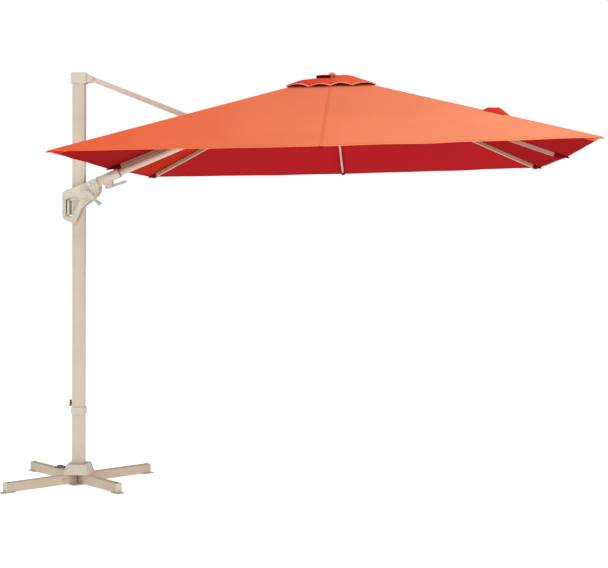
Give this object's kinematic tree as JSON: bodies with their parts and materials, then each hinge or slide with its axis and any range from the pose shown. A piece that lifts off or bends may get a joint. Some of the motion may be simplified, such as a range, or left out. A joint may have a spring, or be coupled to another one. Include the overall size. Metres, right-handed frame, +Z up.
{
  "type": "cantilever parasol",
  "caption": "Cantilever parasol: a square folding canopy hangs from a boom whose carriage slides on a mast that turns on a cross base.",
  "frame": {"origin": "on the floor, on the mast's axis, at the flat face under the centre plate", "axes": "+Z up, +X along the boom towards the canopy, -Y the side with the crank"},
  "size_m": [3.6638, 3.024, 2.712],
  "materials": {
    "frame": "satin",
    "casting": "satin",
    "steel_leg": "satin",
    "plastic_beige": "matte",
    "grip": "matte",
    "dark_plastic": "matte",
    "pedal": "matte",
    "steel": "satin",
    "canvas": "matte",
    "canvas_cap": "matte"
  },
  "bodies": {
    "base": {"leg_near_left": "steel_leg", "leg_near_right": "steel_leg", "leg_far_left": "steel_leg", "leg_far_right": "steel_leg", "leg_end_caps": "plastic_beige", "foot_plates": "steel_leg", "leg_screws": "dark_plastic", "base_bolts": "steel", "centre_plate": "steel_leg", "base_housing": "plastic_beige", "turntable_spindle": "steel", "pedal_pin": "steel"},
    "pedal": {"pedal_lever": "pedal"},
    "mast": {"lower_post": "frame", "post_bushes": "dark_plastic", "mast_collar": "plastic_beige", "mast_tube": "frame", "mast_cap": "plastic_beige", "stay_pin": "steel", "stop_bolt": "steel"},
    "screw": {"hand_screw": "dark_plastic"},
    "stay": {"stay_tube": "frame", "stay_ends": "casting"},
    "yoke": {"boom_ring": "casting", "boom_root": "casting", "twist_collar": "casting"},
    "lever": {"twist_lever": "grip"},
    "boom": {"boom_tube": "frame", "crown_bracket": "casting", "crown_hub": "plastic_beige", "centre_tube": "plastic_beige", "canopy_cover": "canvas", "vent_cap": "canvas_cap", "finial": "plastic_beige"},
    "runner": {"runner": "plastic_beige"},
    "carriage": {"cheek_near": "casting", "cheek_far": "casting", "carriage_liners": "plastic_beige", "handle_grip": "grip", "cheek_bolts": "steel"},
    "crank": {"crank_spool": "plastic_beige", "crank_arm": "casting"},
    "crank_handle": {"crank_grip": "grip"},
    "trigger": {"trigger": "grip"},
    "rib_right": {"rib_right": "frame"},
    "strut_right": {"strut_right": "frame"},
    "rib_far_right": {"rib_far_right": "frame"},
    "strut_far_right": {"strut_far_right": "frame"},
    "rib_far": {"rib_far": "frame"},
    "strut_far": {"strut_far": "frame"},
    "rib_far_left": {"rib_far_left": "frame"},
    "strut_far_left": {"strut_far_left": "frame"},
    "rib_left": {"rib_left": "frame"},
    "strut_left": {"strut_left": "frame"},
    "rib_near_left": {"rib_near_left": "frame"},
    "strut_near_left": {"strut_near_left": "frame"},
    "rib_near": {"rib_near": "frame"},
    "strut_near": {"strut_near": "frame"},
    "rib_near_right": {"rib_near_right": "frame"},
    "strut_near_right": {"strut_near_right": "frame"}
  },
  "joints": [
    {"name": "mast_turn", "type": "hinge", "parent": "base", "child": "mast", "pos_m": [0, 0, 0.1], "axis": [0, 0, 1], "continuous": true},
    {"name": "pedal_press", "type": "hinge", "parent": "base", "child": "pedal", "pos_m": [-0.058, 0, 0.1], "axis": [0, -1, 0], "range_deg": [0, 8], "stiffness_Nm_per_rad": 4, "springref_deg": -8.59},
    {"name": "hand_screw_turn", "type": "hinge", "parent": "mast", "child": "screw", "pos_m": [-0.05, 0, 0.528], "axis": [-1, 0, 0], "continuous": true},
    {"name": "carriage_lift", "type": "hinge", "parent": "mast", "child": "stay", "pos_m": [0.08, 0, 2.673], "axis": [0, 1, 0], "range_deg": [-1.4, 44]},
    {"name": "boom_swing", "type": "hinge", "parent": "stay", "child": "yoke", "pos_m": [0.96796, 0, 2.3215], "axis": [0, 1, 0], "range_deg": [-88.4, 3.2]},
    {"name": "carriage_swing", "type": "hinge", "parent": "yoke", "child": "carriage", "pos_m": [0.08, 0, 1.97], "axis": [0, 1, 0], "range_deg": [-1.7, 44.3]},
    {"name": "boom_twist", "type": "hinge", "parent": "yoke", "child": "boom", "pos_m": [0.08, 0, 1.97], "axis": [0.9232, 0, 0.3842], "range_deg": [-18, 18]},
    {"name": "twist_lever_pull", "type": "hinge", "parent": "yoke", "child": "lever", "pos_m": [0.186, 0, 1.952], "axis": [0, 1, 0], "range_deg": [0, 40]},
    {"name": "crank_turn", "type": "hinge", "parent": "carriage", "child": "crank", "pos_m": [0.058, -0.066, 1.928], "axis": [0, -1, 0], "continuous": true},
    {"name": "crank_grip_fold", "type": "hinge", "parent": "crank", "child": "crank_handle", "pos_m": [0.1209, -0.066, 1.86935], "axis": [-0.682, 0, -0.7314], "range_deg": [0, 90]},
    {"name": "trigger_squeeze", "type": "slide", "parent": "carriage", "child": "trigger", "axis": [-1, 0, 0], "range_m": [0, 0.006], "stiffness_N_per_m": 900, "springref_m": -0.006},
    {"name": "canopy_fold", "type": "hinge", "parent": "boom", "child": "rib_far_right", "pos_m": [1.72038, 0.04243, 2.62078], "axis": [-0.707, 0.7071, -0.0143], "range_deg": [0, 72], "deforming": ["canopy_cover"]},
    {"name": "strut_fold_far_right", "type": "hinge", "parent": "rib_far_right", "child": "strut_far_right", "pos_m": [2.00984, 0.32981, 2.52067], "axis": [-0.707, 0.7071, -0.0143], "range_deg": [-144.5, 0.5]},
    {"name": "runner_slide", "type": "hinge", "parent": "strut_far_right", "child": "runner", "pos_m": [1.72467, 0.04243, 2.40893], "axis": [-0.707, 0.7071, -0.0143], "range_deg": [-0.3, 72.3]},
    {"name": "rib_fold_right", "type": "hinge", "parent": "boom", "child": "rib_right", "pos_m": [1.73811, 0, 2.61299], "axis": [0, 1, 0], "range_deg": [-0.2, 66.71]},
    {"name": "strut_fold_right", "type": "hinge", "parent": "rib_right", "child": "strut_right", "pos_m": [2.19426, 0, 2.45299], "axis": [0, 1, 0], "range_deg": [-133.32, 0.5]},
    {"name": "rib_fold_far", "type": "hinge", "parent": "boom", "child": "rib_far", "pos_m": [1.67812, 0.06, 2.61178], "axis": [-0.9998, 0, -0.0202], "range_deg": [-0.2, 66.71]},
    {"name": "strut_fold_far", "type": "hinge", "parent": "rib_far", "child": "strut_far", "pos_m": [1.68155, 0.51282, 2.4426], "axis": [-0.9998, 0, -0.0202], "range_deg": [-133.32, 0.5]},
    {"name": "rib_fold_far_left", "type": "hinge", "parent": "boom", "child": "rib_far_left", "pos_m": [1.63554, 0.04243, 2.61906], "axis": [-0.707, -0.7071, -0.0143], "range_deg": [-0.2, 72.3]},
    {"name": "strut_fold_far_left", "type": "hinge", "parent": "rib_far_left", "child": "strut_far_left", "pos_m": [1.35036, 0.32981, 2.50732], "axis": [-0.707, -0.7071, -0.0143], "range_deg": [-144.5, 0.5]},
    {"name": "rib_fold_left", "type": "hinge", "parent": "boom", "child": "rib_left", "pos_m": [1.57349, 0.064, 2.59284], "axis": [0, -1, 0], "range_deg": [-0.2, 66.71]},
    {"name": "strut_fold_left", "type": "hinge", "parent": "rib_left", "child": "strut_left", "pos_m": [1.12418, 0.064, 2.4145], "axis": [0, -1, 0], "range_deg": [-133.32, 0.5]},
    {"name": "rib_fold_near_left", "type": "hinge", "parent": "boom", "child": "rib_near_left", "pos_m": [1.63554, -0.04243, 2.61906], "axis": [0.707, -0.7071, 0.0143], "range_deg": [-0.2, 72.3]},
    {"name": "strut_fold_near_left", "type": "hinge", "parent": "rib_near_left", "child": "strut_near_left", "pos_m": [1.35036, -0.32981, 2.50732], "axis": [0.707, -0.7071, 0.0143], "range_deg": [-144.5, 0.5]},
    {"name": "rib_fold_near", "type": "hinge", "parent": "boom", "child": "rib_near", "pos_m": [1.67812, -0.06, 2.61178], "axis": [0.9998, 0, 0.0202], "range_deg": [-0.2, 66.71]},
    {"name": "strut_fold_near", "type": "hinge", "parent": "rib_near", "child": "strut_near", "pos_m": [1.68155, -0.51282, 2.4426], "axis": [0.9998, 0, 0.0202], "range_deg": [-133.32, 0.5]},
    {"name": "rib_fold_near_right", "type": "hinge", "parent": "boom", "child": "rib_near_right", "pos_m": [1.72038, -0.04243, 2.62078], "axis": [0.707, 0.7071, 0.0143], "range_deg": [-0.2, 72.3]},
    {"name": "strut_fold_near_right", "type": "hinge", "parent": "rib_near_right", "child": "strut_near_right", "pos_m": [2.00984, -0.32981, 2.52067], "axis": [0.707, 0.7071, 0.0143], "range_deg": [-144.5, 0.5]}
  ],
  "couplings": [
    {"joint": "boom_swing", "follows": "carriage_lift", "ratio": -2},
    {"joint": "carriage_swing", "follows": "carriage_lift", "ratio": 1},
    {"joint": "strut_fold_far_right", "follows": "canopy_fold", "ratio": -2},
    {"joint": "runner_slide", "follows": "canopy_fold", "ratio": 1},
    {"joint": "rib_fold_right", "follows": "canopy_fold", "ratio": 0.92237},
    {"joint": "strut_fold_right", "follows": "canopy_fold", "ratio": -1.8447},
    {"joint": "rib_fold_far", "follows": "canopy_fold", "ratio": 0.92237},
    {"joint": "strut_fold_far", "follows": "canopy_fold", "ratio": -1.8447},
    {"joint": "rib_fold_far_left", "follows": "canopy_fold", "ratio": 1},
    {"joint": "strut_fold_far_left", "follows": "canopy_fold", "ratio": -2},
    {"joint": "rib_fold_left", "follows": "canopy_fold", "ratio": 0.92237},
    {"joint": "strut_fold_left", "follows": "canopy_fold", "ratio": -1.8447},
    {"joint": "rib_fold_near_left", "follows": "canopy_fold", "ratio": 1},
    {"joint": "strut_fold_near_left", "follows": "canopy_fold", "ratio": -2},
    {"joint": "rib_fold_near", "follows": "canopy_fold", "ratio": 0.92237},
    {"joint": "strut_fold_near", "follows": "canopy_fold", "ratio": -1.8447},
    {"joint": "rib_fold_near_right", "follows": "canopy_fold", "ratio": 1},
    {"joint": "strut_fold_near_right", "follows": "canopy_fold", "ratio": -2}
  ]
}
